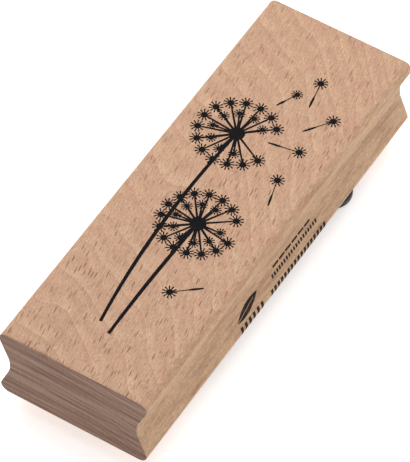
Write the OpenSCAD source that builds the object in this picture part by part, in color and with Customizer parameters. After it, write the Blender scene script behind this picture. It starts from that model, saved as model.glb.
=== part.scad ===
// A wood-mounted rubber stamp: a grooved beech block with an ink print of its picture on top,
// and under it a foam cushion and a trimmed rubber die, held on by two adhesive films.
// The origin is under the middle of the block, on the printing face. The grain runs along Y.

/* [Block] */
// Width of the block, from side to side
block_w = 40; // [38:1:50]
// Length of the block, along the grain
block_l = 120; // [112:1:150]
// Thickness of the block
block_h = 22; // [20:0.5:30]
// Radius of the rounded long edges
edge_r = 2.2; // [1.5:0.1:3]
// Depth of the finger groove along each side
groove_depth = 2.7; // [1.5:0.1:3.2]
// Slope of the groove's flanks, as a multiple of a plain V's of the same depth
flank_ratio = 1.3; // [1.2:0.05:1.5]

/* [Cushion and die] */
// Thickness of the foam cushion
foam_t = 3; // [2:0.5:5]
// Thickness of each adhesive film
adhesive_t = 0.15; // [0.1:0.05:0.3]
// Thickness of the rubber behind the raised print
die_back_t = 1.3; // [1:0.1:2]
// Height of the raised print
relief_h = 1; // [0.8:0.1:1.5]
// Rubber left round the picture where the die is trimmed
trim_margin = 4; // [3:0.5:4.5]
// Radius of the inside corners of the trimmed outline
trim_fillet = 3; // [1:0.5:5]

/* [Picture] */
// Rays in a tuft
tuft_rays = 11; // [9:1:13]
// Radius of a tuft's solid middle, as a share of the tuft's
tuft_core = 0.4; // [0.3:0.05:0.5]
// Radius of a large tuft
large_tuft_r = 1.8; // [1.4:0.1:1.9]
// Radius of a small tuft
small_tuft_r = 1.4; // [1:0.1:1.5]
// Turn from one tuft of a ring to the next, in degrees
tuft_turn = 40; // [0:5:60]
// Places for large tufts in a head's outer ring
outer_places = 16; // [12:1:20]
// Places for small tufts in a head's inner ring
inner_places = 10; // [8:1:12]
// Radius of a head's inner ring, as a share of the outer ring's
inner_share = 0.65; // [0.55:0.05:0.7]
// Turn of the inner ring from the outer ring, in degrees
inner_turn = 12; // [0:1:20]
// Radius of the solid seed bed in the middle of a head
bed_r = 2; // [1.5:0.1:2.5]
// Width of a stalk at its middle
stalk_w = 0.8; // [0.5:0.1:1.2]
// Width of a stalk at its ends, as a share of its width at the middle
stalk_taper = 0.8; // [0.6:0.05:1]
// Thickness of a layer of ink
ink_t = 0.05; // [0.03:0.01:0.1]

/* [Side mark] */
// Length of the plain leaf in the side mark
leaf_l = 10; // [6:1:11]
// Width of the plain leaf in the side mark
leaf_w = 2.6; // [2:0.2:3]
// Width of the leaf's open vein
vein_w = 0.3; // [0.2:0.05:0.5]

/* [Hidden] */
$fn = 64;

// Heights, from the printing face up
die_t = relief_h + die_back_t;
die_adhesive_z = die_t;
foam_z = die_adhesive_z + adhesive_t;
block_adhesive_z = foam_z + foam_t;
block_z = block_adhesive_z + adhesive_t;
block_top_z = block_z + block_h;

// The side's outline: rounded edge, straight flank, hollow, flank and rounded edge
edge_centre_z = block_h / 2 - edge_r;
edge_centre_x = block_w / 2 - edge_r;
flank_angle = atan(flank_ratio * groove_depth / edge_centre_z);
flank_reach = edge_centre_z * sin(flank_angle) - groove_depth * cos(flank_angle);
hollow_r = flank_reach / (1 - cos(flank_angle)) - edge_r;
hollow_centre_x = block_w / 2 - groove_depth + hollow_r;

// Each flower: centre and ring radius of the head, turn of the head in degrees, bend and foot
// of the stalk, and the places that have flown from the outer and from the inner ring
flowers = [
    [[-4.5, 19], 9.6, -5, [-7, -14], [-2, -45], [0, 1], [0, 9]],
    [[2, -9], 9, -8, [1, -28], [1.5, -47], [1], [1]]
];

// Each drifting seed: centre and radius of its tuft, direction in degrees and length of its stem
drifting_seeds = [
    [[4.5, 43], large_tuft_r, -80, 8],
    [[1.5, 37], small_tuft_r, -115, 6],
    [[13, 34.5], large_tuft_r, -125, 8],
    [[11, 22], large_tuft_r, -170, 8],
    [[11, 12], large_tuft_r, -75, 8],
    [[7, -29.5], large_tuft_r, 40, 8]
];
spoke_root_w = 0.55;
spoke_tip_w = 0.32;
stalk_steps = 12;
slit_w = 0.16;

// Each row of dashes in the side mark: start and end along Y, foot above the block's underside,
// height, and length of a dash and of a gap
mark_rows = [
    [-1, 18, 7.4, 0.5, 2.4, 0.5],
    [-2.5, 18.5, 5.4, 1, 0.6, 0.5],
    [-4.5, 21, 1.5, 1.9, 0.9, 0.6],
    [-18, -7.5, 1.6, 2.1, 0.9, 0.9]
];
leaf_centre = [-13.5, 6.2];
leaf_turn = 12;
vein_share = 0.8;

// How far the side mark is carried into the block and out of it, before it is cut to a skin
mark_reach = [4, 1];

function polar(r, a) = [r * cos(a), r * sin(a)];
function bezier(a, b, c, t) = (1 - t) * (1 - t) * a + 2 * t * (1 - t) * b + t * t * c;
function bezier_slope(a, b, c, t) = (1 - t) * (b - a) + t * (c - b);
function across(v) = [-v[1], v[0]] / norm(v);

// The block's cross-section, with its middle at the origin: rounded edges and straight flanks,
// less the hollow of the groove on each side
module block_profile() {
    edge_z = edge_r * sin(flank_angle);
    edge_x = edge_r * cos(flank_angle);
    hollow_z = hollow_r * sin(flank_angle);
    hollow_x = hollow_r * cos(flank_angle);
    difference() {
        union() {
            for (side = [-1, 1], end = [-1, 1]) {
                translate([side * edge_centre_x, end * edge_centre_z]) circle(r = edge_r);
            }
            polygon([
                for (turn = [[1, -1], [1, 1], [-1, 1], [-1, -1]])
                    for (i = turn[0] == turn[1] ? [2, 1, 0] : [0, 1, 2])
                        [
                            turn[0] * [edge_centre_x, edge_centre_x + edge_x, hollow_centre_x - hollow_x][i],
                            turn[1] * [block_h / 2, edge_centre_z - edge_z, hollow_z][i]
                        ]
            ]);
        }
        for (side = [-1, 1]) {
            translate([side * hollow_centre_x, 0]) circle(r = hollow_r);
        }
    }
}

// The cross-section drawn out to the block's length
module block_body() {
    translate([0, 0, block_z + block_h / 2])
        rotate([90, 0, 0])
            linear_extrude(block_l, center = true)
                block_profile();
}

// A tuft of fine rays, seen end on
module tuft(r) {
    step = 180 / tuft_rays;
    polygon([for (i = [0 : 2 * tuft_rays - 1]) polar(i % 2 == 0 ? r : r * tuft_core, i * step)]);
}

// A spoke from a head's middle out to a tuft
module spoke(l) {
    polygon([[0, -spoke_root_w / 2], [l, -spoke_tip_w / 2], [l, spoke_tip_w / 2], [0, spoke_root_w / 2]]);
}

// A ring of tufts on spokes, with the flown places left open
module tuft_ring(places, ring_r, tuft_r, turn, flown) {
    for (place = [0 : places - 1]) {
        if (len(search(place, flown)) == 0) {
            rotate(turn + place * 360 / places) {
                spoke(ring_r);
                translate([ring_r, 0]) rotate(place * tuft_turn) tuft(tuft_r);
            }
        }
    }
}

module head(flower) {
    translate(flower[0]) {
        circle(r = bed_r);
        tuft_ring(outer_places, flower[1], large_tuft_r, flower[2], flower[5]);
        tuft_ring(inner_places, flower[1] * inner_share, small_tuft_r, flower[2] + inner_turn, flower[6]);
    }
}

// A stalk that bends smoothly from the head to its foot and is widest half way
module stalk(flower) {
    top = flower[0];
    bend = flower[3];
    foot = flower[4];
    edges = [
        for (side = [-1, 1])
            [
                for (i = [0 : stalk_steps])
                    let (t = i / stalk_steps, swell = stalk_taper + (1 - stalk_taper) * sin(180 * t))
                        bezier(top, bend, foot, t)
                        + side * swell * stalk_w / 2 * across(bezier_slope(top, bend, foot, t))
            ]
    ];
    polygon(concat(edges[0], [for (i = [stalk_steps : -1 : 0]) edges[1][i]]));
}

// A seed adrift: its tuft, and a thin stem that thickens into the seed
module drifting_seed(seed) {
    l = seed[3];
    upper = [[0, 0.1], [0.6 * l, 0.13], [0.75 * l, 0.27], [0.96 * l, 0.25], [l, 0.08]];
    translate(seed[0]) rotate(seed[2]) {
        tuft(seed[1]);
        polygon(concat(upper, [for (i = [len(upper) - 1 : -1 : 0]) [upper[i][0], -upper[i][1]]]));
    }
}

// The picture as it is seen from above, with its narrowest slits filled; the die carries it facing down
module picture() {
    offset(delta = -slit_w / 2) offset(delta = slit_w / 2) {
        for (flower = flowers) {
            head(flower);
            stalk(flower);
        }
        for (seed = drifting_seeds) {
            drifting_seed(seed);
        }
    }
}

// The outline that the die, the cushion and both films are trimmed to
module trimmed_outline() {
    offset(r = -trim_fillet, $fn = 40) offset(r = trim_margin + trim_fillet, $fn = 40) {
        for (flower = flowers) {
            translate(flower[0]) circle(r = flower[1] + large_tuft_r);
            stalk(flower);
        }
        for (seed = drifting_seeds) {
            translate(seed[0]) circle(r = seed[1]);
            translate(seed[0]) rotate(seed[2]) square([seed[3], 0.1]);
        }
    }
}

module trimmed_layer(z, t) {
    translate([0, 0, z]) linear_extrude(t) trimmed_outline();
}

// A plain leaf and rows of plain dashes, drawn along Y and up from the block's underside
module side_mark() {
    arc_r = (leaf_l * leaf_l + leaf_w * leaf_w) / (4 * leaf_w);
    translate(leaf_centre) rotate(leaf_turn) difference() {
        intersection_for(side = [-1, 1]) {
            translate([0, side * (arc_r - leaf_w / 2)]) circle(r = arc_r);
        }
        translate([-leaf_l / 2, -vein_w / 2]) square([leaf_l * vein_share, vein_w]);
    }
    for (row = mark_rows) {
        pitch = row[4] + row[5];
        for (y = [row[0] : pitch : row[1] - row[4]]) {
            translate([y, row[2]]) square([row[4], row[3]]);
        }
    }
}

module beech_block() {
    color("#d8b090") block_body();
}

module index_print() {
    color("#1c1c24") translate([0, 0, block_top_z]) linear_extrude(ink_t) picture();
}

module side_print() {
    color("#2b2524") difference() {
        intersection() {
            translate([block_w / 2 - mark_reach[0], 0, block_z])
                rotate([90, 0, 90])
                    linear_extrude(mark_reach[0] + mark_reach[1])
                        side_mark();
            translate([ink_t, 0, 0]) block_body();
        }
        block_body();
    }
}

module block_adhesive() {
    color("#b9b6ab") trimmed_layer(block_adhesive_z, adhesive_t);
}

module foam_cushion() {
    color("#34343a") trimmed_layer(foam_z, foam_t);
}

module die_adhesive() {
    color("#b9b6ab") trimmed_layer(die_adhesive_z, adhesive_t);
}

// The backing and the raised print are one moulding
module rubber_die() {
    color("#26262b") {
        trimmed_layer(relief_h, die_back_t);
        linear_extrude(relief_h) picture();
    }
}

beech_block();
index_print();
side_print();
block_adhesive();
foam_cushion();
die_adhesive();
rubber_die();
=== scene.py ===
"""Looks for a wood-mounted rubber stamp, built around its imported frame.

The stamp is a moulded beech block with an ink print of its picture on top, a plain ink mark in
one groove, and a trimmed foam cushion and rubber die below. Sizes are in millimetres and the
meshes are in metres, in the frame's own axes: +Y along the grain, +Z up from the printing face.
"""

import logging
import math
from collections.abc import Callable
from dataclasses import dataclass, field
from enum import Enum

import bmesh
import bpy
from mathutils import Matrix, Vector, noise

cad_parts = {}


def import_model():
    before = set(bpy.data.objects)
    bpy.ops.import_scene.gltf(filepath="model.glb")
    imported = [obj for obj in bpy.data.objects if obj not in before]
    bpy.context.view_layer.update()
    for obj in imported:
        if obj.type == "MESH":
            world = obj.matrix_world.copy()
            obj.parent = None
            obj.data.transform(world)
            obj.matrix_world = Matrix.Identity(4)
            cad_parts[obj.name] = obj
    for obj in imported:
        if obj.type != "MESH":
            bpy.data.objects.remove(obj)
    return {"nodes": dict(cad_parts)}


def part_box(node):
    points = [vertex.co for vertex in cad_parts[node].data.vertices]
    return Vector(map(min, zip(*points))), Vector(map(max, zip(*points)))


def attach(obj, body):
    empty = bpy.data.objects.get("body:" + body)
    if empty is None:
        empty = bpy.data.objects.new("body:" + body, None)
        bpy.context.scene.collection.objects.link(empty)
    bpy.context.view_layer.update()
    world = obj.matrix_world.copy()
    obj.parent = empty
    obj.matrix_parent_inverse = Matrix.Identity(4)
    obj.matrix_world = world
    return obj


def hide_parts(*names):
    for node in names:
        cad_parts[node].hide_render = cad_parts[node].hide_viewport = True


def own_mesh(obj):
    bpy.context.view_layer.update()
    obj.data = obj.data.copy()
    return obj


MM = 0.001
# Lengths under this are taken as nothing, in millimetres
HAIR = 1e-4
# A Wave texture repeats every so many units at a scale of 1
WAVE_PERIOD = 0.3142
log = logging.getLogger("stamp")

Tree = bpy.types.NodeTree
Socket = bpy.types.NodeSocket
Point = tuple[float, float]
Triple = tuple[float, float, float]


class Side(Enum):
    """The two long sides of a strip."""

    LEFT = -1
    RIGHT = 1


class Body(Enum):
    """The frame's two bodies: what the hand holds, and what the cushion lets move."""

    MOUNT = "mount"
    DIE = "die"


def paint(code: str) -> tuple[float, float, float, float]:
    """Turns an sRGB hex colour into linear RGBA.

    Args:
        code: The colour, such as "#d8b090".

    Returns:
        The linear red, green and blue, and an alpha of 1.
    """
    shares = [int(code[i : i + 2], 16) / 255 for i in (1, 3, 5)]
    red, green, blue = (s / 12.92 if s <= 0.04045 else ((s + 0.055) / 1.055) ** 2.4 for s in shares)
    return red, green, blue, 1.0


def per_mm(x: float, y: float, z: float) -> Triple:
    """Gives the scale that makes one unit of a pattern this many millimetres along each axis.

    Args:
        x: Size of one unit along X, in millimetres.
        y: Size of one unit along Y, in millimetres.
        z: Size of one unit along Z, in millimetres.

    Returns:
        The scale for a Mapping node that is fed object coordinates in metres.
    """
    return 1 / (x * MM), 1 / (y * MM), 1 / (z * MM)


def add_node(
    tree: Tree, kind: str, feeds: dict[str | int, object] | None = None, **settings: object
) -> bpy.types.Node:
    """Adds a node, sets its properties and feeds its sockets.

    Args:
        tree: The node tree it joins.
        kind: The node's type.
        feeds: What each input gets, by name or number: another node's output, or a value.
        **settings: The node's properties by name.

    Returns:
        The new node.
    """
    made = tree.nodes.new(kind)
    for name, value in settings.items():
        setattr(made, name, value)
    for socket, feed in (feeds or {}).items():
        if isinstance(feed, Socket):
            tree.links.new(feed, made.inputs[socket])
        else:
            made.inputs[socket].default_value = feed
    return made


def lay_mottle(
    tree: Tree, place: Socket, size: Triple, detail: float, turn: Triple = (0.0, 0.0, 0.0)
) -> bpy.types.Node:
    """Lays an uneven mottle over a surface, with patches of a real size.

    Args:
        tree: The material's node tree.
        place: Object coordinates, in metres.
        size: Size of one patch along each axis, in millimetres.
        detail: How many finer layers it has.
        turn: How the patches are turned about each axis, in radians.

    Returns:
        The node that draws the mottle.
    """
    scaled = add_node(
        tree, "ShaderNodeMapping", {"Vector": place, "Scale": per_mm(*size), "Rotation": turn}
    )
    return add_node(
        tree, "ShaderNodeTexNoise", {"Vector": scaled.outputs[0], "Scale": 1, "Detail": detail}
    )


def spread_mottle(
    tree: Tree,
    place: Socket,
    size: Triple,
    detail: float,
    between: Point = (0.3, 0.7),
    onto: Point = (0.0, 1.0),
) -> Socket:
    """Lays a mottle of a real size and spreads the middle of its range over another range.

    Args:
        tree: The material's node tree.
        place: Object coordinates, in metres.
        size: Size of one patch along each axis, in millimetres.
        detail: How many finer layers it has.
        between: The part of the mottle's range that is kept.
        onto: The range that it is spread over.

    Returns:
        The spread value.
    """
    mottle = lay_mottle(tree, place, size, detail)
    spread = add_node(
        tree,
        "ShaderNodeMapRange",
        {
            "Value": mottle.outputs["Fac"],
            "From Min": between[0],
            "From Max": between[1],
            "To Min": onto[0],
            "To Max": onto[1],
        },
    )
    return spread.outputs[0]


def blank_material(name: str) -> tuple[bpy.types.Material, Tree]:
    """Starts a material with an empty node tree.

    Args:
        name: The material's name.

    Returns:
        The material and its tree.
    """
    material = bpy.data.materials.new(name)
    material.use_nodes = True
    material.node_tree.nodes.clear()
    return material, material.node_tree


def finish_material(tree: Tree, feeds: dict[str | int, object]) -> None:
    """Ends a material with its surface shader and output.

    Args:
        tree: The material's node tree.
        feeds: What each input of the surface shader gets.
    """
    surface = add_node(tree, "ShaderNodeBsdfPrincipled", feeds)
    add_node(tree, "ShaderNodeOutputMaterial", {"Surface": surface.outputs["BSDF"]})


def make_piece(name: str, shape: bmesh.types.BMesh, material: bpy.types.Material) -> bpy.types.Object:
    """Turns a bmesh in millimetres into an object in metres at the origin.

    Args:
        name: The object's name.
        shape: The mesh, which is freed.
        material: The material it wears.

    Returns:
        The new object.
    """
    bmesh.ops.scale(shape, vec=(MM, MM, MM), verts=shape.verts)
    mesh = bpy.data.meshes.new(name)
    shape.to_mesh(mesh)
    shape.free()
    mesh.materials.append(material)
    piece = bpy.data.objects.new(name, mesh)
    bpy.context.scene.collection.objects.link(piece)
    return piece


def fuse_overlaps(piece: bpy.types.Object) -> None:
    """Joins a piece's overlapping solids into one skin, by cutting it with a box that holds it all.

    Args:
        piece: The piece, whose mesh is replaced.
    """
    shape = bmesh.new()
    bmesh.ops.create_cube(shape, size=1000)
    holder = make_piece("holder", shape, piece.data.materials[0])
    cut = piece.modifiers.new("fuse", "BOOLEAN")
    cut.object, cut.operation, cut.solver, cut.use_self = holder, "INTERSECT", "EXACT", True
    loose = piece.data
    piece.data = bpy.data.meshes.new_from_object(piece.evaluated_get(bpy.context.evaluated_depsgraph_get()))
    piece.data.name = piece.name
    piece.modifiers.clear()
    for mesh in (loose, holder.data):
        bpy.data.meshes.remove(mesh)


def dress_node(node: bpy.types.Object, material: bpy.types.Material) -> None:
    """Gives every slot of a node of the frame the same material.

    Args:
        node: The node's object.
        material: The material it wears.
    """
    if not node.material_slots:
        node.data.materials.append(material)
    for slot in node.material_slots:
        slot.material = material


@dataclass(frozen=True)
class SawnBeech:
    """Steamed beech, planed along the grain and sawn across it, and left raw.

    A dense, even, matte wood of a warm pinkish tan. Its broad rays are cut through on the flat-sawn
    face and show as short dark spindles. Its growth rings are faint arcs there, and clear stripes on
    the sawn end, which is darker and greyer because the cut fibres take the light in.
    """

    name: str = "beech_planed_and_sawn"
    light: str = "#c8a586"
    warm: str = "#bf967c"
    ring_line: str = "#b0866b"
    radial: str = "#c5a17b"
    radial_dark: str = "#916443"
    fleck: str = "#6f4529"
    end_light: str = "#997a66"
    end_dark: str = "#6d4a3b"
    fleck_layers: tuple[tuple[Triple, float, float], ...] = (
        ((0.8, 6.0, 1.0), 0.21, 1.0),
        ((0.5, 3.6, 1.0), 0.18, 0.75),
    )
    fade_mm: Point = (-60.0, 60.0)
    ring_pitch_mm: float = 1.6
    heart_mm: Point = (-19.0, -100.0)
    grain_turn: float = -10.0

    def build(self, top: float) -> bpy.types.Material:
        """Builds the material.

        Args:
            top: Height of the block's top face, in metres.

        Returns:
            The finished material.
        """
        material, tree = blank_material(self.name)
        lay = add_node(tree, "ShaderNodeTexCoord")
        # The block was sawn a little across the grain, so every pattern is turned with the fibres
        place = add_node(
            tree,
            "ShaderNodeMapping",
            {"Vector": lay.outputs["Object"], "Rotation": (0, 0, math.radians(self.grain_turn))},
        ).outputs[0]
        wander = lay_mottle(tree, place, (24, 45, 24), detail=2)
        sway = add_node(
            tree,
            "ShaderNodeVectorMath",
            {0: wander.outputs["Color"], 1: (0.5, 0.5, 0.5)},
            operation="SUBTRACT",
        )
        facing = add_node(tree, "ShaderNodeSeparateXYZ", {0: lay.outputs["Normal"]})
        is_side, is_end = (
            add_node(
                tree,
                "ShaderNodeMapRange",
                {
                    "Value": add_node(
                        tree, "ShaderNodeMath", {0: facing.outputs[axis]}, operation="ABSOLUTE"
                    ).outputs[0],
                    "From Min": 0.5,
                    "From Max": 0.9,
                },
            ).outputs[0]
            for axis in ("X", "Y")
        )
        rings = self._rings(tree, lay.outputs["Object"], sway.outputs[0])
        flecks = self._flecks(tree, self._fold(tree, place, top), sway.outputs[0], is_side)
        face = self._face_colour(tree, place, rings, flecks, is_side)
        end = self._end_colour(tree, lay.outputs["Object"], rings)
        colour = add_node(tree, "ShaderNodeMix", {0: is_end, 6: face, 7: end}, data_type="RGBA")
        finish_material(
            tree,
            {
                "Base Color": colour.outputs[2],
                "Roughness": 0.62,
                "Specular IOR Level": 0.35,
                "Normal": self._relief(tree, place, flecks, is_end),
            },
        )
        return material

    def _rings(self, tree: Tree, place: Socket, sway: Socket) -> Socket:
        """Draws the growth rings as long cones round a heart far below the block.

        Args:
            tree: The material's node tree.
            place: Object coordinates.
            sway: A slow wander of the grain, about zero.

        Returns:
            The ring's phase, from 0 at early wood to 1 at the late wood's line.
        """
        parts = add_node(tree, "ShaderNodeSeparateXYZ", {0: place})
        # The heart leans across and down along the block, so the rings cross the top face aslant
        across, rise = (
            add_node(
                tree,
                "ShaderNodeMath",
                {0: parts.outputs["Y"], 1: lean, 2: parts.outputs[axis]},
                operation="MULTIPLY_ADD",
            )
            for axis, lean in (("X", 0.12), ("Z", 0.16))
        )
        leant = add_node(tree, "ShaderNodeCombineXYZ", {"X": across.outputs[0], "Z": rise.outputs[0]})
        moved = add_node(
            tree,
            "ShaderNodeMapping",
            {
                "Vector": leant.outputs[0],
                "Location": (-self.heart_mm[0], 0, -self.heart_mm[1]),
                "Scale": per_mm(1, 1, 1),
            },
        )
        bent = add_node(
            tree,
            "ShaderNodeVectorMath",
            {0: sway, 1: (4, 0, 3), 2: moved.outputs[0]},
            operation="MULTIPLY_ADD",
        )
        wave = add_node(
            tree,
            "ShaderNodeTexWave",
            {
                "Vector": bent.outputs[0],
                "Scale": WAVE_PERIOD / self.ring_pitch_mm,
                "Distortion": 1.6,
                "Detail": 3,
                "Detail Scale": 0.35,
            },
            wave_type="RINGS",
            rings_direction="Y",
            wave_profile="SAW",
        )
        return wave.outputs["Fac"]

    def _fold(self, tree: Tree, place: Socket, top: float) -> Socket:
        """Lets a flat pattern run on from the top face down both sides, so it stretches on neither.

        Args:
            tree: The material's node tree.
            place: Object coordinates, turned with the grain.
            top: Height of the block's top face, in metres.

        Returns:
            The coordinates, where X grows with the depth below the top.
        """
        parts = add_node(tree, "ShaderNodeSeparateXYZ", {0: place})
        hand = add_node(tree, "ShaderNodeMath", {0: parts.outputs["X"]}, operation="SIGN")
        depth = add_node(tree, "ShaderNodeMath", {0: top, 1: parts.outputs["Z"]}, operation="SUBTRACT")
        across = add_node(
            tree,
            "ShaderNodeMath",
            {0: hand.outputs[0], 1: depth.outputs[0], 2: parts.outputs["X"]},
            operation="MULTIPLY_ADD",
        )
        folded = add_node(tree, "ShaderNodeCombineXYZ", {"X": across.outputs[0], "Y": parts.outputs["Y"]})
        return folded.outputs[0]

    def _flecks(self, tree: Tree, place: Socket, sway: Socket, is_side: Socket) -> Socket:
        """Draws the cut rays: spindles about 0.25 mm wide and 1 to 2.5 mm long, and finer ones.

        Args:
            tree: The material's node tree.
            place: Object coordinates, turned with the grain and folded over the edges.
            sway: A slow wander of the grain, about zero.
            is_side: 1 on a side, where the rays lie flat in the face and show less.

        Returns:
            How much of a ray shows, from 0 to 1.
        """
        layers = []
        for cell, widest, strength in self.fleck_layers:
            scaled = add_node(tree, "ShaderNodeMapping", {"Vector": place, "Scale": per_mm(*cell)})
            bent = add_node(
                tree,
                "ShaderNodeVectorMath",
                {0: sway, 1: (3, 0.5, 0), 2: scaled.outputs[0]},
                operation="MULTIPLY_ADD",
            )
            cells = add_node(
                tree, "ShaderNodeTexVoronoi", {"Vector": bent.outputs[0], "Scale": 1}, voronoi_dimensions="2D"
            )
            luck = add_node(tree, "ShaderNodeSeparateColor", {0: cells.outputs["Color"]})
            reach = add_node(
                tree,
                "ShaderNodeMapRange",
                {"Value": luck.outputs[0], "From Min": 0.1, "From Max": 1, "To Min": 0.02, "To Max": widest},
            )
            inside = add_node(
                tree,
                "ShaderNodeMath",
                {0: reach.outputs[0], 1: cells.outputs["Distance"]},
                operation="SUBTRACT",
            )
            core = add_node(
                tree,
                "ShaderNodeMapRange",
                {"Value": inside.outputs[0], "From Min": -0.02, "From Max": 0.05, "To Max": strength},
            )
            depth = add_node(
                tree,
                "ShaderNodeMapRange",
                {"Value": luck.outputs[1], "To Min": 0.35, "To Max": 1},
            )
            layers.append(
                add_node(
                    tree, "ShaderNodeMath", {0: core.outputs[0], 1: depth.outputs[0]}, operation="MULTIPLY"
                ).outputs[0]
            )
        both = add_node(tree, "ShaderNodeMath", {0: layers[0], 1: layers[1]}, operation="MAXIMUM")
        parts = add_node(tree, "ShaderNodeSeparateXYZ", {0: place})
        # The rays show darker towards the near end, which darkens that end of the block
        fade = add_node(
            tree,
            "ShaderNodeMapRange",
            {
                "Value": parts.outputs["Y"],
                "From Min": self.fade_mm[0] * MM,
                "From Max": self.fade_mm[1] * MM,
                "To Min": 1,
                "To Max": 0.65,
            },
        )
        flat = add_node(tree, "ShaderNodeMapRange", {"Value": is_side, "To Min": 1, "To Max": 0.5})
        shown = add_node(
            tree, "ShaderNodeMath", {0: both.outputs[0], 1: fade.outputs[0]}, operation="MULTIPLY"
        )
        return add_node(
            tree, "ShaderNodeMath", {0: shown.outputs[0], 1: flat.outputs[0]}, operation="MULTIPLY"
        ).outputs[0]

    def _face_colour(
        self, tree: Tree, place: Socket, rings: Socket, flecks: Socket, is_side: Socket
    ) -> Socket:
        """Colours the planed faces: mottle, ring arcs, fibre streaks and rays.

        Args:
            tree: The material's node tree.
            place: Object coordinates, turned with the grain.
            rings: The ring's phase.
            flecks: How much of a ray shows.
            is_side: 1 on a side, which is yellower, with brown streaks along the fibres.

        Returns:
            The colour.
        """
        mottle = spread_mottle(tree, place, (3.5, 6, 3.5), detail=3)
        ground = add_node(
            tree,
            "ShaderNodeMix",
            {0: mottle, 6: paint(self.light), 7: paint(self.warm)},
            data_type="RGBA",
        )
        # Early and late wood pass into each other softly on a face that lies along the rings
        wave = add_node(tree, "ShaderNodeMath", {0: rings, 1: 0.5}, operation="PINGPONG")
        soft_arc = add_node(
            tree, "ShaderNodeMapRange", {"Value": wave.outputs[0], "From Max": 0.5, "To Max": 0.55}
        )
        late_line = add_node(
            tree, "ShaderNodeMapRange", {"Value": rings, "From Min": 0.75, "From Max": 0.98, "To Max": 0.6}
        )
        arc = add_node(
            tree,
            "ShaderNodeMath",
            {0: soft_arc.outputs[0], 1: late_line.outputs[0]},
            operation="ADD",
            use_clamp=True,
        )
        ringed = add_node(
            tree,
            "ShaderNodeMix",
            {0: arc.outputs[0], 6: ground.outputs[2], 7: paint(self.ring_line)},
            data_type="RGBA",
        )
        brown = spread_mottle(tree, place, (3, 11, 1.3), detail=4, between=(0.42, 0.75))
        side = add_node(
            tree,
            "ShaderNodeMix",
            {0: brown, 6: paint(self.radial), 7: paint(self.radial_dark)},
            data_type="RGBA",
        )
        yellowing = add_node(tree, "ShaderNodeMapRange", {"Value": is_side, "To Max": 0.6})
        planed = add_node(
            tree,
            "ShaderNodeMix",
            {0: yellowing.outputs[0], 6: ringed.outputs[2], 7: side.outputs[2]},
            data_type="RGBA",
        )
        streaks = spread_mottle(tree, place, (0.3, 3.5, 0.3), detail=3, onto=(0.85, 1.15))
        # Pores are under 0.1 mm across, too fine to show, so they are drawn 0.3 mm across
        pores = spread_mottle(tree, place, (0.3, 0.75, 0.3), detail=2, onto=(0.85, 1.15))
        tone = add_node(tree, "ShaderNodeMath", {0: streaks, 1: pores}, operation="MULTIPLY")
        streaked = add_node(
            tree,
            "ShaderNodeVectorMath",
            {0: planed.outputs[2], "Scale": tone.outputs[0]},
            operation="SCALE",
        )
        return add_node(
            tree,
            "ShaderNodeMix",
            {0: flecks, 6: streaked.outputs[0], 7: paint(self.fleck)},
            data_type="RGBA",
        ).outputs[2]

    def _end_colour(self, tree: Tree, place: Socket, rings: Socket) -> Socket:
        """Colours the sawn ends: ring stripes, crossed by fine pale rays and pores.

        Args:
            tree: The material's node tree.
            place: Object coordinates.
            rings: The ring's phase.

        Returns:
            The colour.
        """
        bands = spread_mottle(tree, place, (22, 40, 1.1), detail=3, onto=(-0.25, 0.75))
        share = add_node(
            tree,
            "ShaderNodeMath",
            {0: rings, 1: 0.5, 2: bands},
            operation="MULTIPLY_ADD",
            use_clamp=True,
        )
        striped = add_node(
            tree,
            "ShaderNodeMix",
            {0: share.outputs[0], 6: paint(self.end_light), 7: paint(self.end_dark)},
            data_type="RGBA",
        )
        rays = spread_mottle(tree, place, (0.35, 5, 3.5), detail=4, onto=(0.88, 1.1))
        return add_node(
            tree, "ShaderNodeVectorMath", {0: striped.outputs[2], "Scale": rays}, operation="SCALE"
        ).outputs[0]

    def _relief(self, tree: Tree, place: Socket, flecks: Socket, is_end: Socket) -> Socket:
        """Raises the fibres a little, sinks the rays, and roughens the sawn ends.

        Args:
            tree: The material's node tree.
            place: Object coordinates.
            flecks: How much of a ray shows.
            is_end: 1 on a sawn end and 0 on a planed face.

        Returns:
            The normal.
        """
        fibres = lay_mottle(tree, place, (0.22, 3, 0.22), detail=3)
        height = add_node(
            tree,
            "ShaderNodeMath",
            {0: flecks, 1: -0.5, 2: fibres.outputs["Fac"]},
            operation="MULTIPLY_ADD",
        )
        # Saw marks run across the end, a little off level
        saw = lay_mottle(tree, place, (9, 9, 0.45), detail=4, turn=(0, math.radians(4), 0))
        surface = add_node(
            tree,
            "ShaderNodeMix",
            {0: is_end, 2: height.outputs[0], 3: saw.outputs["Fac"]},
            data_type="FLOAT",
        )
        bump = add_node(
            tree,
            "ShaderNodeBump",
            {"Height": surface.outputs[0], "Strength": 0.35, "Distance": 0.04 * MM},
        )
        return bump.outputs[0]


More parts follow.
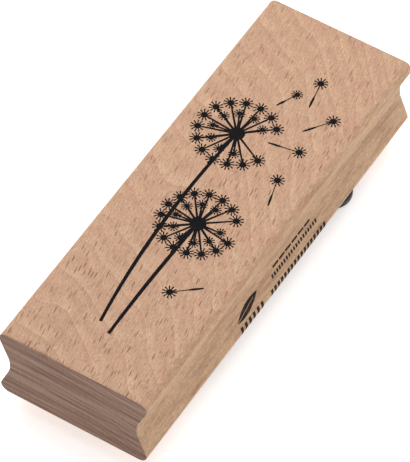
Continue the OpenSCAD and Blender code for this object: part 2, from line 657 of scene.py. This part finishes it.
@dataclass(frozen=True)
class StampInk:
    """Pigment ink, printed on raw wood.

    A thin near-black layer that sinks into the fibres: matte, a shade browner where it is thin, and
    broken by short pale specks where the rubber missed a pore.
    """

    name: str = "pigment_ink_on_wood"
    full: str = "#0b0b0f"
    thin: str = "#33261f"
    missed: float = 0.3

    def build(self) -> bpy.types.Material:
        """Builds the material.

        Returns:
            The finished material.
        """
        material, tree = blank_material(self.name)
        place = add_node(tree, "ShaderNodeTexCoord").outputs["Object"]
        fibres = lay_mottle(tree, place, (0.3, 1.6, 0.3), detail=3)
        thinness = add_node(
            tree,
            "ShaderNodeMapRange",
            {"Value": fibres.outputs["Fac"], "From Min": 0.5, "From Max": 0.72, "To Max": self.missed},
        )
        colour = add_node(
            tree,
            "ShaderNodeMix",
            {0: thinness.outputs[0], 6: paint(self.full), 7: paint(self.thin)},
            data_type="RGBA",
        )
        bump = add_node(
            tree,
            "ShaderNodeBump",
            {"Height": fibres.outputs["Fac"], "Strength": 0.3, "Distance": 0.02 * MM},
        )
        finish_material(
            tree,
            {
                "Base Color": colour.outputs[2],
                "Roughness": 0.8,
                "Specular IOR Level": 0.12,
                "Normal": bump.outputs[0],
            },
        )
        return material


@dataclass(frozen=True)
class CastFilm:
    """Acrylic transfer adhesive, cast as a clear film.

    A clear, soft layer that takes its depth from what it lies on. Its cut edge picks up a little
    dust, so it looks grey and satin.
    """

    name: str = "acrylic_transfer_film"
    clear: str = "#262626"
    dusty: str = "#4b4946"

    def build(self) -> bpy.types.Material:
        """Builds the material.

        Returns:
            The finished material.
        """
        material, tree = blank_material(self.name)
        place = add_node(tree, "ShaderNodeTexCoord").outputs["Object"]
        dust = spread_mottle(tree, place, (1.2, 1.2, 1.2), detail=4, between=(0.4, 0.7))
        colour = add_node(
            tree,
            "ShaderNodeMix",
            {0: dust, 6: paint(self.clear), 7: paint(self.dusty)},
            data_type="RGBA",
        )
        finish_material(tree, {"Base Color": colour.outputs[2], "Roughness": 0.38, "IOR": 1.47})
        return material


@dataclass(frozen=True)
class CushionFoam:
    """Closed-cell polyethylene foam, skived and knife-cut.

    Charcoal and matte. The cut walls open its cells, about 0.35 mm across, which show as a fine
    pitted grain with pale cell walls between hollows that are painted darker, as painted shade.
    """

    name: str = "closed_cell_foam"
    wall: str = "#1a1a1d"
    hollow_shade: str = "#0b0b0c"
    cell_mm: float = 0.35

    def build(self) -> bpy.types.Material:
        """Builds the material.

        Returns:
            The finished material.
        """
        material, tree = blank_material(self.name)
        place = add_node(tree, "ShaderNodeTexCoord").outputs["Object"]
        cell_place = add_node(
            tree,
            "ShaderNodeMapping",
            {"Vector": place, "Scale": per_mm(self.cell_mm, self.cell_mm, self.cell_mm)},
        )
        cells = add_node(tree, "ShaderNodeTexVoronoi", {"Vector": cell_place.outputs[0], "Scale": 1})
        rim = add_node(
            tree,
            "ShaderNodeMapRange",
            {"Value": cells.outputs["Distance"], "From Min": 0.15, "From Max": 0.75},
        )
        # Painted shade: the middle of each open cell is painted darker than the pale wall round it
        colour = add_node(
            tree,
            "ShaderNodeMix",
            {0: rim.outputs[0], 6: paint(self.hollow_shade), 7: paint(self.wall)},
            data_type="RGBA",
        )
        bump = add_node(
            tree,
            "ShaderNodeBump",
            {"Height": rim.outputs[0], "Strength": 0.8, "Distance": 0.12 * MM},
        )
        finish_material(
            tree,
            {
                "Base Color": colour.outputs[2],
                "Roughness": 0.85,
                "Specular IOR Level": 0.3,
                "Normal": bump.outputs[0],
            },
        )
        return material


@dataclass(frozen=True)
class StampRubber:
    """Vulcanised natural rubber, pressed in a mould and trimmed with a knife.

    Near-black and soft to the eye: the moulded faces have a fine satin grain, the trimmed wall is
    greyer and duller, with faint upright drag lines from the blade, and a bloom dusts all of it.
    """

    name: str = "vulcanised_rubber"
    face: str = "#121213"
    bloom: str = "#1e1e20"
    trimmed: str = "#111112"

    def build(self) -> bpy.types.Material:
        """Builds the material.

        Returns:
            The finished material.
        """
        material, tree = blank_material(self.name)
        lay = add_node(tree, "ShaderNodeTexCoord")
        place = lay.outputs["Object"]
        bloom = lay_mottle(tree, place, (7, 7, 7), detail=5)
        dusted = add_node(
            tree,
            "ShaderNodeMix",
            {0: bloom.outputs["Fac"], 6: paint(self.face), 7: paint(self.bloom)},
            data_type="RGBA",
        )
        facing = add_node(tree, "ShaderNodeSeparateXYZ", {0: lay.outputs["Normal"]})
        upright = add_node(tree, "ShaderNodeMath", {0: facing.outputs["Z"]}, operation="ABSOLUTE")
        is_wall = add_node(
            tree,
            "ShaderNodeMapRange",
            {"Value": upright.outputs[0], "From Min": 0.3, "From Max": 0.7, "To Min": 1, "To Max": 0},
        )
        colour = add_node(
            tree,
            "ShaderNodeMix",
            {0: is_wall.outputs[0], 6: dusted.outputs[2], 7: paint(self.trimmed)},
            data_type="RGBA",
        )
        grain = lay_mottle(tree, place, (0.18, 0.18, 1.5), detail=3)
        bump = add_node(
            tree,
            "ShaderNodeBump",
            {"Height": grain.outputs["Fac"], "Strength": 0.5, "Distance": 0.04 * MM},
        )
        finish_material(
            tree,
            {
                "Base Color": colour.outputs[2],
                "Roughness": 0.55,
                "IOR": 1.52,
                "Normal": bump.outputs[0],
            },
        )
        return material


@dataclass(frozen=True)
class LitTable:
    """A matte white acrylic table, lit softly from below so that shadows stay light."""

    name: str = "lit_white_table"
    white: str = "#f7f7f7"
    glow: float = 0.55

    def build(self) -> bpy.types.Material:
        """Builds the material.

        Returns:
            The finished material.
        """
        material, tree = blank_material(self.name)
        finish_material(
            tree,
            {
                "Base Color": paint(self.white),
                "Roughness": 0.9,
                "Specular IOR Level": 0.1,
                "Emission Color": paint(self.white),
                "Emission Strength": self.glow,
            },
        )
        return material


@dataclass
class BeechBlock:
    """The block: moulded along its length, then sawn to length."""

    width: float = field(init=False)
    length: float = field(init=False)
    height: float = field(init=False)
    foot: float = field(init=False)
    edge_r: float = 2.2
    groove_depth: float = 2.7
    flank_ratio: float = 1.3
    arc_steps: int = 14
    arris: float = 0.22
    chip_stations: tuple[float, ...] = (-8.6, -7.9, -7.1, -6.6)
    chip_reach: float = 0.8
    chip_depth: float = 0.4
    wood: SawnBeech = field(default_factory=SawnBeech)

    def profile(self) -> bmesh.types.BMesh:
        """Draws the block's cross-section at its near end.

        Returns:
            A mesh of one flat face.
        """
        edge_z = self.height / 2 - self.edge_r
        edge_x = self.width / 2 - self.edge_r
        flank = math.atan(self.flank_ratio * self.groove_depth / edge_z)
        hollow_r = (edge_z * math.sin(flank) - self.groove_depth * math.cos(flank)) / (
            1 - math.cos(flank)
        ) - self.edge_r
        hollow_x = self.width / 2 - self.groove_depth + hollow_r
        shape = bmesh.new()
        start = shape.verts.new((0, 0, self.height / 2))
        tip = self._step_to(shape, start, Vector((edge_x, 0, self.height / 2)))
        tip = self._round(shape, tip, (edge_x, 0, edge_z), math.pi / 2 + flank)
        into = Vector((hollow_x - hollow_r * math.cos(flank), 0, hollow_r * math.sin(flank)))
        tip = self._step_to(shape, tip, into)
        tip = self._round(shape, tip, (hollow_x, 0, 0), -2 * flank)
        below = Vector((edge_x + self.edge_r * math.cos(flank), 0, self.edge_r * math.sin(flank) - edge_z))
        tip = self._step_to(shape, tip, below)
        tip = self._round(shape, tip, (edge_x, 0, -edge_z), math.pi / 2 + flank)
        self._step_to(shape, tip, Vector((0, 0, -self.height / 2)))
        bmesh.ops.mirror(shape, geom=shape.verts[:] + shape.edges[:], axis="X", merge_dist=HAIR)
        bmesh.ops.contextual_create(shape, geom=shape.edges[:])
        return shape

    @staticmethod
    def _step_to(shape: bmesh.types.BMesh, tip: bmesh.types.BMVert, place: Vector) -> bmesh.types.BMVert:
        """Carries the outline straight on from its tip.

        Args:
            shape: The mesh that holds the outline.
            tip: The outline's last point.
            place: Where the next point goes.

        Returns:
            The new last point.
        """
        made = bmesh.ops.extrude_vert_indiv(shape, verts=[tip])["verts"][0]
        bmesh.ops.translate(shape, vec=place - made.co, verts=[made])
        return made

    def _round(
        self, shape: bmesh.types.BMesh, tip: bmesh.types.BMVert, centre: Triple, angle: float
    ) -> bmesh.types.BMVert:
        """Carries the outline round an arc from its tip.

        Args:
            shape: The mesh that holds the outline.
            tip: The outline's last point.
            centre: The arc's centre.
            angle: How far the arc turns, in radians, clockwise as seen from the near end.

        Returns:
            The new last point.
        """
        spun = bmesh.ops.spin(
            shape,
            geom=[tip],
            cent=centre,
            axis=(0, 1, 0),
            angle=angle,
            steps=self.arc_steps,
            use_merge=False,
        )
        return next(e for e in spun["geom_last"] if isinstance(e, bmesh.types.BMVert))

    def _chip_arris(self, shape: bmesh.types.BMesh) -> None:
        """Knocks a small chip out of the near top edge, and leaves the faces round it flat.

        Args:
            shape: The block in place.
        """
        near, top = -self.length / 2, self.foot + self.height
        cuts = [((x, 0, 0), (1, 0, 0)) for x in self.chip_stations]
        cuts.append(((0, near + self.chip_reach, 0), (0, 1, 0)))
        cuts.append(((0, 0, top - self.chip_reach), (0, 0, 1)))
        for centre, normal in cuts:
            bmesh.ops.bisect_plane(
                shape,
                geom=shape.verts[:] + shape.edges[:] + shape.faces[:],
                dist=HAIR,
                plane_co=centre,
                plane_no=normal,
            )
        for station in self.chip_stations[1:-1]:
            corner = Vector((station, near, top))
            struck = [v for v in shape.verts if (v.co - corner).length < 10 * HAIR]
            bmesh.ops.translate(shape, vec=(0, self.chip_depth, -self.chip_depth), verts=struck)

    def build(self) -> bpy.types.Object:
        """Builds the block to its node's size and puts it in that node's place.

        Returns:
            The block.
        """
        low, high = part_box("beech_block")
        self.width, self.length, self.height = (high - low) / MM
        self.foot = low.z / MM
        shape = self.profile()
        bmesh.ops.translate(shape, vec=(0, -self.length / 2, self.foot + self.height / 2), verts=shape.verts)
        drawn = bmesh.ops.extrude_face_region(shape, geom=shape.faces[:])
        far = [e for e in drawn["geom"] if isinstance(e, bmesh.types.BMVert)]
        bmesh.ops.translate(shape, vec=(0, self.length, 0), verts=far)
        self._chip_arris(shape)
        bmesh.ops.recalc_face_normals(shape, faces=shape.faces)
        rims = [
            e
            for e in shape.edges
            if all(abs(v.co.y) > self.length / 2 - self.chip_depth - HAIR for v in e.verts)
            and len({f.normal.to_tuple(1) for f in e.link_faces if abs(f.normal.y) > 0.9}) == 1
            and any(abs(f.normal.y) < 0.9 for f in e.link_faces)
        ]
        bmesh.ops.bevel(
            shape,
            geom=rims,
            offset=self.arris,
            offset_type="OFFSET",
            segments=2,
            profile=0.5,
            affect="EDGES",
            clamp_overlap=True,
            material=-1,
        )
        for vert in shape.verts:
            vert.co.y = max(-self.length / 2, min(self.length / 2, vert.co.y))
        bmesh.ops.recalc_face_normals(shape, faces=shape.faces)
        block = make_piece("block", shape, self.wood.build(high.z))
        for face in block.data.polygons:
            face.use_smooth = abs(face.normal.y) < 0.9
        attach(block, Body.MOUNT.value)
        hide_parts("beech_block")
        return block


@dataclass(frozen=True)
class Flower:
    """One seed head and its stalk: places in millimetres, turns in degrees."""

    centre: Point
    ring_r: float
    turn: float
    bend: Point
    stalk_foot: Point
    outer_flown: tuple[int, ...]
    inner_flown: tuple[int, ...]


@dataclass(frozen=True)
class DriftingSeed:
    """One seed adrift: its tuft, and the direction and length of its stem."""

    centre: Point
    tuft_r: float
    direction: float
    length: float


@dataclass
class IndexPicture:
    """The picture printed on the block's top: two seed heads, their stalks and seeds adrift."""

    rays: int = 11
    core: float = 0.46
    ray_end: float = 0.36
    large_tuft_r: float = 1.8
    small_tuft_r: float = 1.4
    outer_places: int = 16
    inner_places: int = 10
    inner_share: float = 0.65
    inner_turn: float = 12.0
    tuft_turn: float = 40.0
    bed_r: float = 2.0
    spoke_start: float = 0.7
    spoke_root: float = 0.6
    spoke_tip: float = 0.36
    stalk_w: float = 0.94
    bend_steps: int = 16
    ink: StampInk = field(default_factory=StampInk)
    flowers: tuple[Flower, ...] = (
        Flower((-4.5, 19), 9.6, -5, (-7, -14), (-2, -45), (0, 1), (0, 9)),
        Flower((2, -9), 9, -8, (1, -28), (1.5, -47), (1,), (1,)),
    )
    seeds: tuple[DriftingSeed, ...] = (
        DriftingSeed((4.5, 43), 1.8, -80, 8),
        DriftingSeed((1.5, 37), 1.4, -115, 6),
        DriftingSeed((13, 34.5), 1.8, -125, 8),
        DriftingSeed((11, 22), 1.8, -170, 8),
        DriftingSeed((11, 12), 1.8, -75, 8),
        DriftingSeed((7, -29.5), 1.8, 40, 8),
    )

    def _tuft(self, shape: bmesh.types.BMesh, place: Matrix, radius: float) -> None:
        """Draws a tuft: a small core with a blunt ray on every other side.

        Args:
            shape: The flat picture.
            place: Where the tuft goes and how it is turned.
            radius: The tuft's radius.
        """
        made = bmesh.ops.create_circle(
            shape, cap_ends=True, segments=2 * self.rays, radius=radius * self.core, matrix=place
        )
        centre = place.translation
        sides = {edge for vert in made["verts"] for edge in vert.link_edges}
        ordered = sorted(sides, key=lambda e: self._heading(e, centre))
        for edge in ordered[::2]:
            middle = (edge.verts[0].co + edge.verts[1].co) / 2
            out = (middle - centre).normalized()
            width = edge.calc_length()
            tip = [
                v
                for v in bmesh.ops.extrude_edge_only(shape, edges=[edge])["geom"]
                if isinstance(v, bmesh.types.BMVert)
            ]
            bmesh.ops.translate(shape, vec=out * (radius - (middle - centre).length), verts=tip)
            end = (tip[0].co + tip[1].co) / 2
            bmesh.ops.scale(
                shape, vec=Vector((1, 1, 1)) * self.ray_end / width, space=Matrix.Translation(-end), verts=tip
            )

    @staticmethod
    def _heading(edge: bmesh.types.BMEdge, centre: Vector) -> float:
        """Gives the direction of an edge's middle as seen from a centre.

        Args:
            edge: The edge.
            centre: Where it is seen from.

        Returns:
            The direction, in radians.
        """
        middle = (edge.verts[0].co + edge.verts[1].co) / 2 - centre
        return math.atan2(middle.y, middle.x)

    @staticmethod
    def _strip(shape: bmesh.types.BMesh, steps: int, place: Callable[[float, int], Vector]) -> None:
        """Draws a strip by bending a flat grid.

        Args:
            shape: The flat picture.
            steps: How many lengths the strip has.
            place: Gives a point from its share of the length and the value of its Side.
        """
        made = bmesh.ops.create_grid(shape, x_segments=steps, y_segments=1, size=0.5)
        for vert in made["verts"]:
            side = Side.RIGHT if vert.co.y > 0 else Side.LEFT
            vert.co = place(vert.co.x + 0.5, side.value)

    def _head(self, shape: bmesh.types.BMesh, flower: Flower) -> None:
        """Draws a seed head: the bed, two rings of tufts and their spokes.

        Args:
            shape: The flat picture.
            flower: The flower it belongs to.
        """
        middle = Matrix.Translation((*flower.centre, 0))
        bmesh.ops.create_circle(shape, cap_ends=True, segments=48, radius=self.bed_r, matrix=middle)
        rings = (
            (self.outer_places, flower.ring_r, self.large_tuft_r, flower.turn, flower.outer_flown),
            (
                self.inner_places,
                flower.ring_r * self.inner_share,
                self.small_tuft_r,
                flower.turn + self.inner_turn,
                flower.inner_flown,
            ),
        )
        for places, ring_r, tuft_r, turn, flown in rings:
            for number in set(range(places)) - set(flown):
                arm = middle @ Matrix.Rotation(math.radians(turn + number * 360 / places), 4, "Z")

                def spoke(t: float, side: int, arm: Matrix = arm, reach: float = ring_r) -> Vector:
                    """Places a point of the spoke, which starts inside the bed and narrows outwards.

                    Args:
                        t: Share of the way from the head's middle.
                        side: The value of the point's Side.
                        arm: Turns and places the spoke.
                        reach: Where the spoke ends, in millimetres from the middle.

                    Returns:
                        The point.
                    """
                    share = max(t, self.spoke_start * self.bed_r / reach)
                    width = self.spoke_root + (self.spoke_tip - self.spoke_root) * share
                    return arm @ Vector((reach * share, side * width / 2, 0))

                self._strip(shape, 1, spoke)
                turned = Matrix.Rotation(math.radians(number * self.tuft_turn), 4, "Z")
                self._tuft(shape, arm @ Matrix.Translation((ring_r, 0, 0)) @ turned, tuft_r)

    def _stalk(self, shape: bmesh.types.BMesh, flower: Flower) -> None:
        """Draws a stalk that bends smoothly from the head to its foot, widest half way.

        Args:
            shape: The flat picture.
            flower: The flower it belongs to.
        """
        top, bend, foot = (Vector((*p, 0)) for p in (flower.centre, flower.bend, flower.stalk_foot))

        def edge(t: float, side: int) -> Vector:
            """Places a point of the stalk's edge.

            Args:
                t: Share of the way down the stalk.
                side: The value of the point's Side.

            Returns:
                The point.
            """
            middle = (1 - t) ** 2 * top + 2 * t * (1 - t) * bend + t * t * foot
            slope = ((1 - t) * (bend - top) + t * (foot - bend)).normalized()
            half = self.stalk_w * (0.4 + 0.1 * math.sin(math.pi * t))
            return middle + side * half * Vector((-slope.y, slope.x, 0))

        self._strip(shape, self.bend_steps, edge)

    def _seed(self, shape: bmesh.types.BMesh, seed: DriftingSeed) -> None:
        """Draws a seed adrift: its tuft, and a thin stem that thickens into the seed.

        Args:
            shape: The flat picture.
            seed: The seed.
        """
        place = Matrix.Translation((*seed.centre, 0)) @ Matrix.Rotation(math.radians(seed.direction), 4, "Z")

        def edge(t: float, side: int) -> Vector:
            """Places a point of the stem's edge.

            Args:
                t: Share of the way along the stem.
                side: The value of the point's Side.

            Returns:
                The point.
            """
            grown = max(0.0, (t - 0.55) / 0.45)
            half = 0.1 + 0.03 * t + 0.16 * math.sin(math.pi * min(1.0, grown**0.8)) ** 0.8
            return place @ Vector((seed.length * t, side * half, 0))

        self._strip(shape, self.bend_steps, edge)
        self._tuft(shape, place, seed.tuft_r)

    def build(self) -> bpy.types.Object:
        """Builds the printed picture, as thick as its node, and puts it in that node's place.

        Returns:
            The picture.
        """
        low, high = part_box("index_print")
        shape = bmesh.new()
        for flower in self.flowers:
            self._head(shape, flower)
            self._stalk(shape, flower)
        for seed in self.seeds:
            self._seed(shape, seed)
        bmesh.ops.recalc_face_normals(shape, faces=shape.faces)
        raised = bmesh.ops.extrude_face_region(shape, geom=shape.faces[:])
        upper = [e for e in raised["geom"] if isinstance(e, bmesh.types.BMVert)]
        bmesh.ops.translate(shape, vec=(0, 0, (high.z - low.z) / MM), verts=upper)
        bmesh.ops.translate(shape, vec=(0, 0, low.z / MM), verts=shape.verts)
        bmesh.ops.recalc_face_normals(shape, faces=shape.faces)
        picture = make_piece("top_picture", shape, self.ink.build())
        fuse_overlaps(picture)
        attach(picture, Body.MOUNT.value)
        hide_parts("index_print")
        return picture


@dataclass
class Cushion:
    """The foam cushion under the block: its plain solid, and what makes it look cut by hand."""

    solid: bpy.types.Object
    rows: int = 8
    draw_in: float = 0.22
    ripple: float = 0.07
    ripple_length: float = 2.2
    press_keep: float = 1 - 0.8 / 3
    foam: CushionFoam = field(default_factory=CushionFoam)

    def build(self) -> bpy.types.Object:
        """Builds the cushion and puts it in place of its node.

        Returns:
            The cushion.
        """
        low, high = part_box("foam_cushion")
        shape = bmesh.new()
        shape.from_mesh(self.solid.data)
        bmesh.ops.remove_doubles(shape, verts=shape.verts, dist=1e-7)
        bmesh.ops.dissolve_limit(shape, angle_limit=math.radians(0.5), verts=shape.verts, edges=shape.edges)
        for row in range(1, self.rows):
            level = low.z + (high.z - low.z) * row / self.rows
            bmesh.ops.bisect_plane(
                shape,
                geom=shape.verts[:] + shape.edges[:] + shape.faces[:],
                plane_co=(0, 0, level),
                plane_no=(0, 0, 1),
            )
        shape.normal_update()
        for vert in shape.verts:
            share = (vert.co.z - low.z) / (high.z - low.z)
            out = Vector((vert.normal.x, vert.normal.y, 0)).normalized()
            wobble = noise.noise(vert.co / (self.ripple_length * MM)) * self.ripple
            pull = (self.draw_in + wobble) * math.sin(math.pi * share)
            vert.co -= out * pull * MM
        bmesh.ops.scale(shape, vec=(1 / MM, 1 / MM, 1 / MM), verts=shape.verts)
        bmesh.ops.recalc_face_normals(shape, faces=shape.faces)
        cushion = make_piece("cushion", shape, self.foam.build())
        for face in cushion.data.polygons:
            face.use_smooth = abs(face.normal.z) < 0.7
        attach(cushion, Body.MOUNT.value)
        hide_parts("foam_cushion")
        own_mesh(cushion)
        return cushion


@dataclass
class Studio:
    """The white ground, the soft lights and the camera."""

    azimuth: float = 30.80
    elevation: float = 52.10
    roll: float = 1.18
    distance: float = 974.4
    slide: Point = (-1.23, -1.18)
    aim: Triple = (0.0, 0.0, 15.6)
    lens: float = 320.2
    sensor: float = 36.0
    ground: float = 1500.0
    table: LitTable = field(default_factory=LitTable)

    def build(self) -> None:
        """Builds the ground, the world, the lights and the camera."""
        scene = bpy.context.scene
        scene.view_settings.view_transform = "Standard"
        self._world(scene)
        self._ground()
        self._light("key", (-200, 260, 700), 900, 6.1)
        self._light("side", (620, 120, 260), 380, 0.4)
        self._camera(scene)

    @staticmethod
    def _world(scene: bpy.types.Scene) -> None:
        """Fills the room with even white light.

        Args:
            scene: The scene it is for.
        """
        world = bpy.data.worlds.new("white_room")
        world.use_nodes = True
        world.node_tree.nodes.clear()
        sky = add_node(world.node_tree, "ShaderNodeBackground", {"Color": (1, 1, 1, 1), "Strength": 0.45})
        add_node(world.node_tree, "ShaderNodeOutputWorld", {"Surface": sky.outputs[0]})
        scene.world = world

    def _ground(self) -> None:
        """Lays the white ground under the stamp."""
        shape = bmesh.new()
        bmesh.ops.create_grid(shape, x_segments=1, y_segments=1, size=self.ground)
        make_piece("ground", shape, self.table.build())

    def _light(self, name: str, place: Triple, size: float, power: float) -> None:
        """Hangs a soft square light that faces the stamp.

        Args:
            name: The light's name.
            place: Where it hangs, in millimetres.
            size: Length of its side, in millimetres.
            power: Its power in watts.
        """
        lamp = bpy.data.lights.new(name, "AREA")
        lamp.size = size * MM
        lamp.energy = power
        holder = bpy.data.objects.new(name, lamp)
        holder.location = Vector(place) * MM
        toward = Vector(self.aim) - Vector(place)
        holder.rotation_euler = toward.to_track_quat("-Z", "Y").to_euler()
        bpy.context.scene.collection.objects.link(holder)

    def _camera(self, scene: bpy.types.Scene) -> None:
        """Stands the camera above the near right corner, with a long lens.

        Args:
            scene: The scene it is for.
        """
        az, el, roll = (math.radians(a) for a in (self.azimuth, self.elevation, self.roll))
        back = Vector((math.sin(az) * math.cos(el), -math.cos(az) * math.cos(el), math.sin(el)))
        level = (-back).cross(Vector((0, 0, 1))).normalized()
        rise = level.cross(-back)
        across = math.cos(roll) * level + math.sin(roll) * rise
        up = -math.sin(roll) * level + math.cos(roll) * rise
        spot = Vector(self.aim) + back * self.distance + across * self.slide[0] + up * self.slide[1]
        data = bpy.data.cameras.new("camera")
        data.lens = self.lens
        data.sensor_width = self.sensor
        camera = bpy.data.objects.new("camera", data)
        turn = Matrix((across, up, back)).transposed().to_4x4()
        camera.matrix_world = Matrix.Translation(spot * MM) @ turn
        scene.collection.objects.link(camera)
        scene.camera = camera


def main() -> None:
    """Builds the stamp's looks on its frame and reports each piece."""
    logging.basicConfig(level=logging.INFO, format="%(message)s")
    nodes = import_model()["nodes"]
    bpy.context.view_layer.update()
    Studio().build()
    for maker in (BeechBlock(), IndexPicture(), Cushion(nodes["foam_cushion"])):
        piece = maker.build()
        log.info("%s: %d faces", piece.name, len(piece.data.polygons))
    finishes = {
        "side_print": StampInk(name="pigment_ink_in_groove", full="#241d1a", thin="#6a5040", missed=0.5),
        "block_adhesive": CastFilm(),
        "die_adhesive": CastFilm(name="acrylic_transfer_film_lower"),
        "rubber_die": StampRubber(),
    }
    for name, finish in finishes.items():
        dress_node(nodes[name], finish.build())
        log.info("%s: dressed in %s", name, finish.name)


if __name__ == "__main__":
    main()
